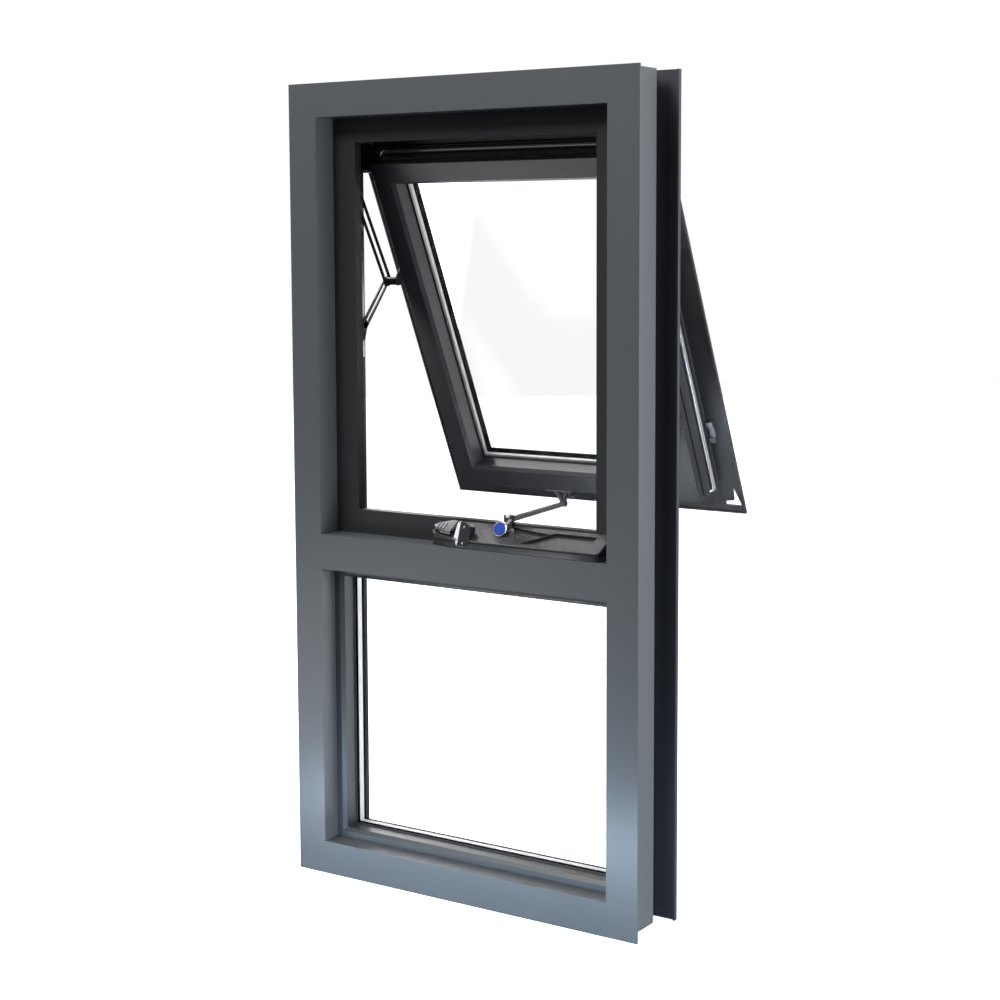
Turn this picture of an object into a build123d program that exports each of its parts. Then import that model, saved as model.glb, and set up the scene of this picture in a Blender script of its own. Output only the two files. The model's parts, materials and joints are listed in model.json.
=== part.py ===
from build123d import *
from math import atan2, cos, degrees, radians, sin
import os

os.makedirs("parts", exist_ok=True)

# Awning window over a fixed light, seen from the room side.
# X runs to the right, Y from the room to the outside and Z up.
# The origin is the middle of the flat underside of the frame's body.

# Outer frame
frame_width = 600.0
frame_height = 1200.0
face_width = 50.0
face_thick = 2.4
flange_reach = 22.0
body_depth = 85.0
frame_depth = 115.0
fin_thick = 3.0
fin_lip = 4.0
outer_leg_thick = 7.0
transom_height = 53.0
transom_bottom = 474.0

# Stop round the awning light
reveal_depth = 41.5
stop_thick = 12.0
stop_reach = 36.5
side_stop_reach = 41.0
seal_height = 3.0
seal_width = 6.0

# Fixed light
rebate_leg_reach = 16.0
rebate_leg_thick = 3.0
fixed_bead_front = 32.0
fixed_bead_reach = 15.0
fixed_bead_chamfer = 5.0
fixed_gasket_thick = 3.0
fixed_pane_thick = 6.0
fixed_air_gap = 10.0
pane_edge_clearance = 4.0
spacer_width = 7.0

# Sash
sash_angle = 25.0
sash_overlap = 17.0
sash_depth = 52.0
sash_flange_thick = 3.0
sash_flange_reach = 46.0
sash_lip = 1.5
sash_step_reach = 36.0
sash_step_depth = 44.5
sash_face_width = 25.0
sash_edge_radius = 1.0
sash_groove_place = 12.0
sash_groove_width = 4.0
sash_groove_depth = 3.5
sash_bead_reach = 10.0
sash_bead_chamfer = 5.0
sash_leg_reach = 17.0
sash_gasket_thick = 2.0
sash_pane_thick = 5.0
sash_air_gap = 6.0
sash_drop = 22.4
sash_fin_clearance = 1.0

# Opening in the flange at the sash's lower right corner
notch_edge = 5.0
notch_foot = 13.0
notch_reach = 32.0
notch_slot = 7.0
notch_tab = 17.0
notch_tab_rise = 2.0
notch_top = 48.0
notch_top_inset = 14.0

# Friction stays
track_thick = 2.5
track_width = 20.0
track_length = 335.0
track_head_gap = 25.0
stay_thick = 2.5
stay_width = 14.5
track_depth = 100.0
stay_low_pivot_depth = 102.0
stay_low_pivot_drop = 338.0
stay_elbow_depth = 110.0
stay_elbow_drop = 310.0
stay_high_pivot_depth = 98.0
stay_high_pivot_drop = 123.0
stay_apex_depth = 165.0
stay_apex_drop = 244.0
stay_gap = 0.3
pin_radius = 4.0
pin_clearance = 0.05
bracket_thick = 3.0
bracket_tail = 60.0
bracket_width = 14.0
bracket_inset = 3.0
bracket_lean = 12.0
shoulder_radius = 6.5
shoe_depth = 106.5
shoe_drop = 56.5
shoe_width = 16.0
shoe_length = 45.0

# Chain winder
winder_length = 292.0
winder_jamb_gap = 14.0
winder_front = 3.0
winder_back_clearance = 0.4
winder_base_height = 8.4
winder_corner = 7.0
winder_groove_height = 2.4
winder_groove_inset = 3.0
winder_front_height = 13.0
winder_back_height = 34.0
cover_inset = 1.5
cover_edge_radius = 0.8
tip_front_taper = 49.0
tip_back_taper = 28.0
tip_front_depth = 9.5
tip_back_depth = 20.8
tip_lean = 4.0
tray_start = 159.0
tray_length = 109.0
tray_edge = 4.2
tray_back_edge = 9.0
tray_drop = 4.0
tray_start_slant = 45.0
tray_end_slant = 4.0
notch_point = 153.0
notch_back_start = 130.0
notch_back_end = 198.0
notch_back_edge = 4.0
notch_end_edge = 13.0
outlet_width = 14.0
outlet_depth = 6.0
outlet_roof = 3.0
button_place = 117.8
button_front = 17.0
button_rise = 31.5
button_tilt = 25.5
button_radius = 11.5
button_length = 14.0
button_recess = 1.0
cap_radius = 9.8
cap_height = 1.4
cap_edge_radius = 0.9
button_clearance = 0.2
hinge_place = 53.5
hinge_length = 31.0
hinge_width = 34.0
hinge_height = 13.0
hinge_corner = 5.0
hinge_edge_radius = 3.0
grip_inset = 2.5
grip_height = 6.0
grip_corner = 4.0
grip_edge_radius = 1.6
grip_root_length = 4.0
grip_root_height = 12.0
grip_root_width = 28.0
rib_count = 3
rib_place = 12.0
rib_pitch = 5.0
rib_width = 1.8
rib_length = 14.0
rib_height = 1.4

# Chain and its bracket
chain_height = 8.0
chain_width = 5.0
chain_start_place = 121.8
chain_rise = 1.6
chain_clearance = 0.3
chain_sweep = 100.4
chain_bracket_inset = 8.0
chain_bracket_length = 50.0
chain_bracket_width = 12.0
chain_bracket_thick = 3.0
chain_eye_drop = 29.0
chain_eye_radius = 5.0
chain_eye_length = 8.0
chain_loop_width = 26.0
chain_loop_rim = 4.0
chain_loop_thick = 4.0
chain_hook_place = 14.0
chain_hook_width = 4.0
chain_hook_drop = 16.0
chain_hook_foot = 10.0

# Places worked out from the sizes
face_y = -body_depth / 2
bottom_z = -flange_reach
half_width = frame_width / 2
opening_half = half_width - face_width
opening_width = 2 * opening_half
sill_top = face_width
head_low = frame_height - face_width
transom_top = transom_bottom + transom_height
vent_height = head_low - transom_top
rebate_depth = body_depth
pane_outer_depth = rebate_depth - fixed_gasket_thick - fixed_pane_thick
pane_inner_depth = pane_outer_depth - fixed_air_gap - fixed_pane_thick
fixed_bead_back = pane_inner_depth - fixed_gasket_thick

# The frame's room face, with its corner at the middle of the frame's lower edge
frame_face = Plane(origin=(0, face_y, bottom_z), x_dir=(1, 0, 0), z_dir=(0, -1, 0))
# The sash's room face, with its corner at the middle of the sash box's lower edge
sash_width = opening_width + 2 * sash_overlap
sash_height = vent_height + 2 * sash_overlap
lean = radians(sash_angle)
sash_up = Vector(0, -sin(lean), cos(lean))
sash_out = Vector(0, cos(lean), sin(lean))
sash_lip_depth = sash_depth - sash_flange_thick - sash_lip
# The upper edge of the flange hangs just outside the fin, a little lower than on the closed sash
sash_top_edge = Vector(
    0,
    face_y + frame_depth + sash_fin_clearance,
    bottom_z + head_low + sash_overlap - sash_drop,
)
sash_corner = sash_top_edge - sash_out * sash_lip_depth - sash_up * (sash_height - sash_flange_reach)
sash_face = Plane(origin=sash_corner, x_dir=(1, 0, 0), z_dir=-sash_out)
sash_rebate = sash_flange_reach + sash_face_width
sash_pane_outer = sash_depth - sash_flange_thick - sash_gasket_thick - sash_pane_thick
sash_pane_inner = sash_pane_outer - sash_air_gap - sash_pane_thick
sash_bead_back = sash_pane_inner - sash_gasket_thick


def slab(low_x, high_x, low_y, high_y, mode=Mode.ADD):
    """Rectangle between two corners in the sketch that is open."""
    with Locations(((low_x + high_x) / 2, (low_y + high_y) / 2)):
        Rectangle(high_x - low_x, high_y - low_y, mode=mode)


def side_plane(face, side, low_x, high_x, low_y, high_y):
    """Sketch plane at one side of a rectangle on a face: x points inward and y to the outside."""
    inward, corner = {
        "left": (face.x_dir, (low_x, low_y)),
        "right": (-face.x_dir, (high_x, high_y)),
        "bottom": (face.y_dir, (high_x, low_y)),
        "top": (-face.y_dir, (low_x, high_y)),
    }[side]
    outward = -face.z_dir
    return Plane(origin=face.from_local_coords(corner), x_dir=inward, z_dir=inward.cross(outward))


def side_run(side, low_x, high_x, low_y, high_y):
    """Length of a rectangle's side."""
    return high_y - low_y if side in ("left", "right") else high_x - low_x


def mitre(plane, run):
    """Cuts both ends of the member that was extruded from a side plane at 45 degrees."""
    far = plane.origin + plane.z_dir * run
    split(bisect_by=Plane(origin=plane.origin, z_dir=plane.z_dir - plane.x_dir), keep=Keep.TOP)
    split(bisect_by=Plane(origin=far, z_dir=-plane.z_dir - plane.x_dir), keep=Keep.TOP)


def finish(builder, name):
    """Labels a finished piece and writes its file."""
    builder.part.label = name
    export_step(builder.part, f"parts/{name}.step")


def frame_section():
    """Section shared by the outer members: room flange, body, outer leg and fin."""
    slab(0, face_width, 0, face_thick)
    slab(flange_reach, face_width, 0, body_depth)
    slab(face_width - outer_leg_thick, face_width, body_depth, frame_depth)
    slab(0, face_width, frame_depth - fin_thick, frame_depth)
    slab(0, fin_thick, frame_depth - fin_thick - fin_lip, frame_depth)


def rebate_leg(low, high):
    """Outer glazing leg of the fixed light, between two places along its sketch plane's x."""
    slab(low, high, rebate_depth, rebate_depth + rebate_leg_thick)


frame_box = (-half_width, half_width, 0, frame_height)
fixed_box = (-opening_half, opening_half, sill_top, transom_bottom)
vent_box = (-opening_half, opening_half, transom_top, head_low)

# Jambs run the full height and carry the fixed light's glazing leg between sill and transom
for side, name in (("left", "left_jamb"), ("right", "right_jamb")):
    plane = side_plane(frame_face, side, *frame_box)
    light = side_plane(frame_face, side, *fixed_box)
    with BuildPart() as jamb:
        with BuildSketch(plane):
            frame_section()
        extrude(amount=side_run(side, *frame_box))
        with BuildSketch(light):
            rebate_leg(0, rebate_leg_reach)
        extrude(amount=side_run(side, *fixed_box))
    finish(jamb, name)

# Head and sill stand between the jambs
for side, name in (("bottom", "sill"), ("top", "head")):
    edge = (-opening_half, opening_half, 0, frame_height)
    light = (-opening_half + rebate_leg_reach, opening_half - rebate_leg_reach, sill_top, transom_bottom)
    with BuildPart() as rail:
        with BuildSketch(side_plane(frame_face, side, *edge)):
            frame_section()
        extrude(amount=opening_width)
        if name == "sill":
            with BuildSketch(side_plane(frame_face, side, *light)):
                rebate_leg(0, rebate_leg_reach)
            extrude(amount=side_run(side, *light))
    finish(rail, name)

with BuildPart() as transom:
    light = (-opening_half + rebate_leg_reach, opening_half - rebate_leg_reach, sill_top, transom_bottom)
    with BuildSketch(side_plane(frame_face, "top", -opening_half, opening_half, 0, transom_top)):
        slab(0, transom_height, 0, frame_depth)
    extrude(amount=opening_width)
    with BuildSketch(side_plane(frame_face, "top", *light)):
        rebate_leg(0, rebate_leg_reach)
    extrude(amount=side_run("top", *light))
finish(transom, "transom")

# Stops round the awning light: the lower and upper run across, the side ones stand between them
side_box = (-opening_half, opening_half, transom_top + stop_reach, head_low - stop_reach)
for side, name, box, reach in (
    ("bottom", "lower_stop", vent_box, stop_reach),
    ("top", "upper_stop", vent_box, stop_reach),
    ("left", "left_stop", side_box, side_stop_reach),
    ("right", "right_stop", side_box, side_stop_reach),
):
    with BuildPart() as stop:
        with BuildSketch(side_plane(frame_face, side, *box)):
            slab(0, reach, reveal_depth, reveal_depth + stop_thick)
        extrude(amount=side_run(side, *box))
    finish(stop, name)

# Bubble seal on the outer side of the stops
with BuildPart() as seal:
    inner_half = opening_half - side_stop_reach
    low = transom_top + stop_reach
    high = head_low - stop_reach
    with BuildSketch(frame_face.offset(-reveal_depth - stop_thick)):
        slab(-inner_half - seal_width, inner_half + seal_width, low - seal_width, high + seal_width)
        slab(-inner_half, inner_half, low, high, mode=Mode.SUBTRACT)
    extrude(amount=-seal_height)
finish(seal, "stop_seal")

# Glazing beads of the fixed light
for side in ("left", "right", "bottom", "top"):
    plane = side_plane(frame_face, side, *fixed_box)
    run = side_run(side, *fixed_box)
    with BuildPart() as bead:
        with BuildSketch(plane):
            slab(0, fixed_bead_reach, fixed_bead_front, fixed_bead_back)
            corner = vertices().sort_by_distance((fixed_bead_reach, fixed_bead_front, 0))
            chamfer(corner[0], length=fixed_bead_chamfer)
        extrude(amount=run)
        mitre(plane, run)
    finish(bead, f"fixed_bead_{side}")

# Gaskets, panes and spacer of the fixed light
fixed_low = sill_top
fixed_high = transom_bottom


def ring_sketch(half, low, high, outer_in, inner_in):
    """Rectangular ring, inset from a light's edge by two amounts."""
    slab(-half + outer_in, half - outer_in, low + outer_in, high - outer_in)
    slab(-half + inner_in, half - inner_in, low + inner_in, high - inner_in, mode=Mode.SUBTRACT)


with BuildPart() as fixed_gasket:
    for depth in (fixed_bead_back, rebate_depth - fixed_gasket_thick):
        with BuildSketch(frame_face.offset(-depth)):
            ring_sketch(opening_half, fixed_low, fixed_high, pane_edge_clearance, fixed_bead_reach)
        extrude(amount=-fixed_gasket_thick)
finish(fixed_gasket, "fixed_gasket")

for depth, name in ((pane_inner_depth, "fixed_pane_inner"), (pane_outer_depth, "fixed_pane_outer")):
    with BuildPart() as pane:
        with BuildSketch(frame_face.offset(-depth)):
            slab(
                -opening_half + pane_edge_clearance,
                opening_half - pane_edge_clearance,
                fixed_low + pane_edge_clearance,
                fixed_high - pane_edge_clearance,
            )
        extrude(amount=-fixed_pane_thick)
    finish(pane, name)

with BuildPart() as fixed_spacer:
    with BuildSketch(frame_face.offset(-pane_inner_depth - fixed_pane_thick)):
        ring_sketch(
            opening_half, fixed_low, fixed_high, fixed_bead_reach - spacer_width / 2, fixed_bead_reach + spacer_width / 2
        )
    extrude(amount=-fixed_air_gap)
finish(fixed_spacer, "fixed_spacer")

# Sash members, mitred at the corners
sash_box = (
    -sash_width / 2,
    sash_width / 2,
    -sash_flange_reach,
    sash_height - sash_flange_reach,
)


def flange_corner(inward, rise):
    """Point on the sash's face, measured from the flange's lower right corner."""
    return (sash_width / 2 - inward, rise - sash_flange_reach)


for side, name in (
    ("left", "sash_left_stile"),
    ("right", "sash_right_stile"),
    ("bottom", "sash_bottom_rail"),
    ("top", "sash_top_rail"),
):
    plane = side_plane(sash_face, side, *sash_box)
    run = side_run(side, *sash_box)
    with BuildPart() as member:
        with BuildSketch(plane):
            slab(0, sash_rebate, sash_depth - sash_flange_thick, sash_depth)
            slab(0, sash_flange_thick, sash_lip_depth, sash_depth)
            slab(sash_step_reach, sash_rebate, sash_step_depth, sash_depth)
            slab(sash_flange_reach, sash_rebate, 0, sash_depth)
            slab(
                sash_rebate,
                sash_rebate + sash_leg_reach,
                sash_depth - sash_flange_thick,
                sash_depth,
            )
            slab(
                sash_flange_reach,
                sash_flange_reach + sash_groove_depth,
                sash_groove_place,
                sash_groove_place + sash_groove_width,
                mode=Mode.SUBTRACT,
            )
            corner = vertices().sort_by_distance((sash_flange_reach, 0, 0))
            fillet(corner[0], radius=sash_edge_radius)
        extrude(amount=run)
        mitre(plane, run)
        if side in ("right", "bottom"):
            # Opening through the flange's corner, cut in both of the members that meet there
            with BuildSketch(sash_face):
                with BuildLine():
                    Polyline(
                        flange_corner(notch_edge, notch_foot),
                        flange_corner(notch_reach, notch_foot),
                        flange_corner(notch_reach, notch_foot + notch_slot),
                        flange_corner(notch_tab, notch_foot + notch_slot + notch_tab_rise),
                        flange_corner(notch_top_inset, notch_top),
                        close=True,
                    )
                make_face()
            extrude(amount=-sash_depth, mode=Mode.SUBTRACT)
    finish(member, name)

# Glazing beads of the sash
bead_box = (
    sash_box[0] + sash_rebate,
    sash_box[1] - sash_rebate,
    sash_box[2] + sash_rebate,
    sash_box[3] - sash_rebate,
)
for side in ("left", "right", "bottom", "top"):
    plane = side_plane(sash_face, side, *bead_box)
    run = side_run(side, *bead_box)
    with BuildPart() as bead:
        with BuildSketch(plane):
            slab(0, sash_bead_reach, 0, sash_bead_back)
            corner = vertices().sort_by_distance((sash_bead_reach, 0, 0))
            chamfer(corner[0], length=sash_bead_chamfer)
        extrude(amount=run)
        mitre(plane, run)
    finish(bead, f"sash_bead_{side}")

# Gaskets, panes and spacer of the sash
glass_half = sash_width / 2 - sash_rebate
glass_low = sash_box[2] + sash_rebate
glass_high = sash_box[3] - sash_rebate

with BuildPart() as sash_gasket:
    for depth in (sash_bead_back, sash_depth - sash_flange_thick - sash_gasket_thick):
        with BuildSketch(sash_face.offset(-depth)):
            ring_sketch(glass_half, glass_low, glass_high, pane_edge_clearance, sash_bead_reach)
        extrude(amount=-sash_gasket_thick)
finish(sash_gasket, "sash_gasket")

for depth, name in ((sash_pane_inner, "sash_pane_inner"), (sash_pane_outer, "sash_pane_outer")):
    with BuildPart() as pane:
        with BuildSketch(sash_face.offset(-depth)):
            slab(
                -glass_half + pane_edge_clearance,
                glass_half - pane_edge_clearance,
                glass_low + pane_edge_clearance,
                glass_high - pane_edge_clearance,
            )
        extrude(amount=-sash_pane_thick)
    finish(pane, name)

with BuildPart() as sash_spacer:
    with BuildSketch(sash_face.offset(-sash_pane_inner - sash_pane_thick)):
        ring_sketch(
            glass_half, glass_low, glass_high, sash_bead_reach - spacer_width / 2, sash_bead_reach + spacer_width / 2
        )
    extrude(amount=-sash_air_gap)
finish(sash_spacer, "sash_spacer")

# Friction stays, one on each jamb: the layers run from the jamb's pocket towards the sash
head_z = bottom_z + head_low
low_pivot = (face_y + stay_low_pivot_depth, head_z - stay_low_pivot_drop)
elbow = (face_y + stay_elbow_depth, head_z - stay_elbow_drop)
high_pivot = (face_y + stay_high_pivot_depth, head_z - stay_high_pivot_drop)
apex = (face_y + stay_apex_depth, head_z - stay_apex_drop)
shoe = (face_y + shoe_depth, head_z - shoe_drop)
track_middle = face_y + track_depth
sash_side = sash_width / 2 - sash_flange_reach
lower_layer = opening_half - track_thick - stay_gap
upper_layer = lower_layer - stay_thick - stay_gap


def link(start, end):
    """Flat link with round ends between two points of the sketch."""
    with Locations(((start[0] + end[0]) / 2, (start[1] + end[1]) / 2)):
        run = Vector(end[0] - start[0], end[1] - start[1])
        SlotCenterToCenter(run.length, stay_width, rotation=degrees(atan2(run.Y, run.X)))


for sign, word in ((-1, "left"), (1, "right")):
    # Layer plane at a distance from the middle, with its normal to the right
    def layer(distance):
        return Plane(origin=(sign * distance, 0, 0), x_dir=(0, 1, 0), z_dir=(1, 0, 0))

    with BuildPart() as track:
        with BuildSketch(layer(opening_half)):
            slab(
                track_middle - track_width / 2,
                track_middle + track_width / 2,
                head_z - track_head_gap - track_length,
                head_z - track_head_gap,
            )
        extrude(amount=-sign * track_thick)
    finish(track, f"stay_track_{word}")

    # Cranked arm: it lies along the track at its foot and bends out to the apex
    with BuildPart() as lower_arm:
        with BuildSketch(layer(lower_layer)):
            link(low_pivot, elbow)
            link(elbow, apex)
            with Locations(apex):
                Circle(pin_radius + pin_clearance, mode=Mode.SUBTRACT)
        extrude(amount=-sign * stay_thick)
        with BuildSketch(layer(opening_half - track_thick)):
            with Locations(low_pivot):
                Circle(pin_radius)
        extrude(amount=-sign * (stay_gap + stay_thick))
    finish(lower_arm, f"stay_lower_arm_{word}")

    with BuildPart() as upper_arm:
        with BuildSketch(layer(upper_layer)):
            link(high_pivot, apex)
            with Locations(apex):
                Circle(pin_radius + pin_clearance, mode=Mode.SUBTRACT)
        extrude(amount=-sign * stay_thick)
        with BuildSketch(layer(opening_half - track_thick)):
            with Locations(high_pivot):
                Circle(pin_radius)
        extrude(amount=-sign * (2 * stay_gap + 2 * stay_thick))
    finish(upper_arm, f"stay_upper_arm_{word}")

    # Bracket on the side of the sash: the shouldered pin that both arms turn on, and the shoe at the track
    stile_side = Plane(
        origin=sash_face.from_local_coords((sign * sash_side, 0, 0)),
        x_dir=sash_face.y_dir,
        z_dir=(1, 0, 0),
    )
    foot = stile_side.to_local_coords(Vector(sign * sash_side, apex[0], apex[1]))
    seat = stile_side.to_local_coords(Vector(sign * sash_side, shoe[0], shoe[1]))
    arm_end = (foot.X + bracket_lean, -bracket_inset - bracket_width / 2)
    with BuildPart() as bracket:
        with BuildSketch(stile_side):
            slab(arm_end[0] - bracket_tail, seat.X, -bracket_inset - bracket_width, -bracket_inset)
            link((foot.X, foot.Y), arm_end)
        extrude(amount=sign * bracket_thick)
        with BuildSketch(layer(sash_side)):
            with Locations(apex):
                Circle(shoulder_radius)
        extrude(amount=sign * (upper_layer - stay_thick - stay_gap - sash_side))
        with BuildSketch(layer(sash_side)):
            with Locations(apex):
                Circle(pin_radius)
        extrude(amount=sign * (lower_layer - sash_side))
        with BuildSketch(layer(sash_side)):
            with Locations(shoe):
                SlotOverall(shoe_length, shoe_width, rotation=90)
        extrude(amount=sign * (lower_layer - sash_side))
    finish(bracket, f"sash_bracket_{word}")

# Chain winder on the ledge of the transom
ledge_z = bottom_z + transom_top
winder_left = opening_half - winder_jamb_gap - winder_length
winder_front_y = face_y + winder_front
winder_depth = reveal_depth - winder_front - winder_back_clearance
slope_run = Vector(0, winder_depth - cover_inset, winder_back_height - winder_front_height)
slope_length = slope_run.length
slope = Plane(
    origin=(winder_left, winder_front_y + cover_inset, ledge_z + winder_front_height),
    x_dir=(1, 0, 0),
    z_dir=Vector(1, 0, 0).cross(slope_run),
)


def front_edges(builder, direction):
    """Edges of the face that lies furthest along a direction."""
    return builder.faces().sort_by(Axis(Vector(), direction))[-1].edges()


def winder_plan(inset=0):
    """Outline of the winder seen from above, with its tapered tip on the left."""
    right = winder_left + winder_length
    back = winder_front_y + winder_depth
    Polygon(
        (winder_left + tip_front_taper, winder_front_y),
        (right, winder_front_y),
        (right, back),
        (winder_left + tip_back_taper, back),
        (winder_left, winder_front_y + tip_back_depth),
        (winder_left + tip_lean, winder_front_y + tip_front_depth),
        align=None,
    )
    fillet(vertices(), radius=winder_corner)
    if inset:
        offset(amount=-inset, mode=Mode.REPLACE)


with BuildPart() as winder_base:
    with BuildSketch(Plane.XY.offset(ledge_z)):
        winder_plan()
    extrude(amount=winder_base_height)
finish(winder_base, "winder_base")

button_axis = Vector(0, -cos(radians(button_tilt)), sin(radians(button_tilt)))
button_face = Plane(
    origin=(winder_left + button_place, winder_front_y + button_front, ledge_z + button_rise),
    x_dir=(1, 0, 0),
    z_dir=button_axis,
)
lid_low = ledge_z + winder_base_height + winder_groove_height
with BuildPart() as winder_cover:
    with BuildSketch(Plane.XY.offset(lid_low)):
        winder_plan()
    extrude(amount=winder_back_height)
    split(bisect_by=slope, keep=Keep.BOTTOM)
    fillet(front_edges(winder_cover, slope.z_dir), radius=cover_edge_radius)
    # Set-back foot of the cover, which leaves a dark groove above the base
    with BuildSketch(Plane.XY.offset(ledge_z + winder_base_height)):
        winder_plan(winder_groove_inset)
    extrude(amount=winder_groove_height)
    # Shallow tray with slanted ends in the right half of the slope, and a three-cornered recess beside it
    with BuildSketch(slope):
        with BuildLine():
            Polyline(
                (tray_start, tray_edge),
                (tray_start + tray_length, tray_edge),
                (tray_start + tray_length + tray_end_slant, slope_length - tray_back_edge),
                (tray_start + tray_start_slant, slope_length - tray_back_edge),
                close=True,
            )
        make_face()
        with BuildLine():
            Polyline(
                (notch_point, notch_back_edge),
                (notch_back_end, slope_length - notch_end_edge),
                (notch_back_start, slope_length - notch_back_edge),
                close=True,
            )
        make_face()
    extrude(amount=-tray_drop, mode=Mode.SUBTRACT)
    # Outlet that carries the chain over the stop
    with BuildSketch(Plane.XY.offset(ledge_z + winder_base_height)):
        slab(
            winder_left + chain_start_place - outlet_width / 2,
            winder_left + chain_start_place + outlet_width / 2,
            winder_front_y + winder_depth - outlet_depth,
            winder_front_y + winder_depth,
        )
    extrude(amount=stop_reach + chain_rise + chain_height + outlet_roof - winder_base_height)
    # Pocket that the button's barrel stands in
    with BuildSketch(button_face):
        Circle(button_radius + button_clearance)
    extrude(amount=-button_length, mode=Mode.SUBTRACT)
finish(winder_cover, "winder_cover")

hinge_middle = (hinge_place, slope_length / 2)
with BuildPart() as crank_hinge:
    with BuildSketch(slope):
        with Locations(hinge_middle):
            RectangleRounded(hinge_length, hinge_width, hinge_corner)
    extrude(amount=hinge_height)
    fillet(front_edges(crank_hinge, slope.z_dir), radius=hinge_edge_radius)
finish(crank_hinge, "crank_hinge")

# Lever folded onto the tapered tip, with ribs for the fingers
grip_end = hinge_place - hinge_length / 2
slope_share = slope_length / (winder_depth - cover_inset)
with BuildPart() as crank_grip:
    with BuildSketch(slope):
        with BuildLine():
            Polyline(
                (grip_end, 2 * grip_inset),
                (grip_end, slope_length - 2 * grip_inset),
                (tip_back_taper + grip_inset / 2, slope_length - 2 * grip_inset),
                (grip_inset, tip_back_depth * slope_share - grip_inset / 2),
                (tip_lean + grip_inset, tip_front_depth * slope_share + grip_inset),
                close=True,
            )
        make_face()
        fillet(vertices().group_by(Axis.X)[0] + vertices().group_by(Axis.X)[1], radius=grip_corner)
    extrude(amount=grip_height)
    fillet(front_edges(crank_grip, slope.z_dir), radius=grip_edge_radius)
    with BuildSketch(slope):
        with Locations((grip_end - grip_root_length / 2, slope_length / 2)):
            Rectangle(grip_root_length, grip_root_width)
    extrude(amount=grip_root_height)
    with BuildSketch(slope):
        for place in range(rib_count):
            with Locations((rib_place + place * rib_pitch, slope_length / 2)):
                SlotOverall(rib_length, rib_width, rotation=90)
    extrude(amount=grip_height + rib_height)
finish(crank_grip, "crank_grip")

with BuildPart() as button_ring:
    with BuildSketch(button_face):
        Circle(button_radius)
    extrude(amount=-button_length)
    fillet(front_edges(button_ring, button_axis), radius=cover_edge_radius)
    with BuildSketch(button_face):
        Circle(cap_radius)
    extrude(amount=-button_recess, mode=Mode.SUBTRACT)
finish(button_ring, "button_ring")

with BuildPart() as button_cap:
    with BuildSketch(button_face.offset(-button_recess)):
        Circle(cap_radius)
    extrude(amount=button_recess + cap_height)
    fillet(front_edges(button_cap, button_axis), radius=cap_edge_radius)
finish(button_cap, "button_cap")

# Bracket under the sash's bottom rail, with a round eye that the chain ends at
rail_under = Plane(
    origin=sash_face.from_local_coords((winder_left + chain_start_place - chain_sweep, 0, -chain_bracket_inset)),
    x_dir=(1, 0, 0),
    z_dir=-sash_face.y_dir,
)
eye = rail_under.from_local_coords(Vector(0, 0, chain_eye_drop))
loop_plane = Plane(origin=rail_under.origin, x_dir=(1, 0, 0), z_dir=sash_out)
with BuildPart() as chain_bracket:
    with BuildSketch(rail_under):
        Rectangle(chain_bracket_length, chain_bracket_width)
    extrude(amount=chain_bracket_thick)
    # Three-cornered loop that narrows to the eye, with a small hook beside it
    with BuildSketch(loop_plane):
        with BuildLine():
            Polyline(
                (-chain_loop_width / 2, 0),
                (chain_loop_width / 2, 0),
                (chain_eye_length / 2, chain_eye_drop),
                (-chain_eye_length / 2, chain_eye_drop),
                close=True,
            )
        make_face()
        with BuildLine():
            Polyline(
                (-chain_loop_width / 2 + chain_loop_rim, chain_bracket_thick),
                (chain_loop_width / 2 - chain_loop_rim, chain_bracket_thick),
                (0, chain_eye_drop - chain_eye_radius - chain_loop_rim / 2),
                close=True,
            )
        make_face(mode=Mode.SUBTRACT)
        slab(chain_hook_place, chain_hook_place + chain_hook_width, 0, chain_hook_drop)
        slab(chain_hook_place, chain_hook_place + chain_hook_foot, chain_hook_drop - chain_hook_width, chain_hook_drop)
    extrude(amount=chain_loop_thick / 2, both=True)
    with BuildSketch(Plane(origin=eye, x_dir=(0, 1, 0), z_dir=(1, 0, 0))):
        Circle(chain_eye_radius)
    extrude(amount=chain_eye_length / 2, both=True)
finish(chain_bracket, "chain_bracket")

chain_start = Vector(
    winder_left + chain_start_place,
    winder_front_y + winder_depth,
    ledge_z + stop_reach + chain_rise + chain_height / 2,
)
chain_run = eye - chain_start
chain_rise_run = Vector(0, chain_run.Y, chain_run.Z).normalized()
with BuildPart() as chain:
    with BuildSketch(Plane(origin=chain_start, x_dir=chain_run.cross(Vector(0, 0, 1)), z_dir=chain_run)):
        Rectangle(chain_width, chain_height)
    extrude(amount=chain_run.length, both=True)
    # It stops just short of the outlet and of the eye
    split(bisect_by=Plane(origin=chain_start + Vector(0, chain_clearance, 0), z_dir=(0, 1, 0)), keep=Keep.TOP)
    chain_stop = eye - chain_rise_run * (chain_eye_radius + chain_clearance)
    split(bisect_by=Plane(origin=chain_stop, z_dir=-chain_rise_run), keep=Keep.TOP)
finish(chain, "chain")
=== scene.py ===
"""Looks of an awning window over a fixed light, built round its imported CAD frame.

The solids keep their places. Finishes dress them, and small pieces, such as screws,
rivets, chain links, stay arms and gasket lips, are added true to scale.
"""
import json
import logging
from dataclasses import dataclass, field
from enum import Enum
from math import atan2, copysign, cos, pi, radians, sin, tau
from typing import Any, Sequence

import bmesh
import bpy
from bpy.types import Material, Mesh, Object
from mathutils import Matrix, Quaternion, Vector


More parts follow.
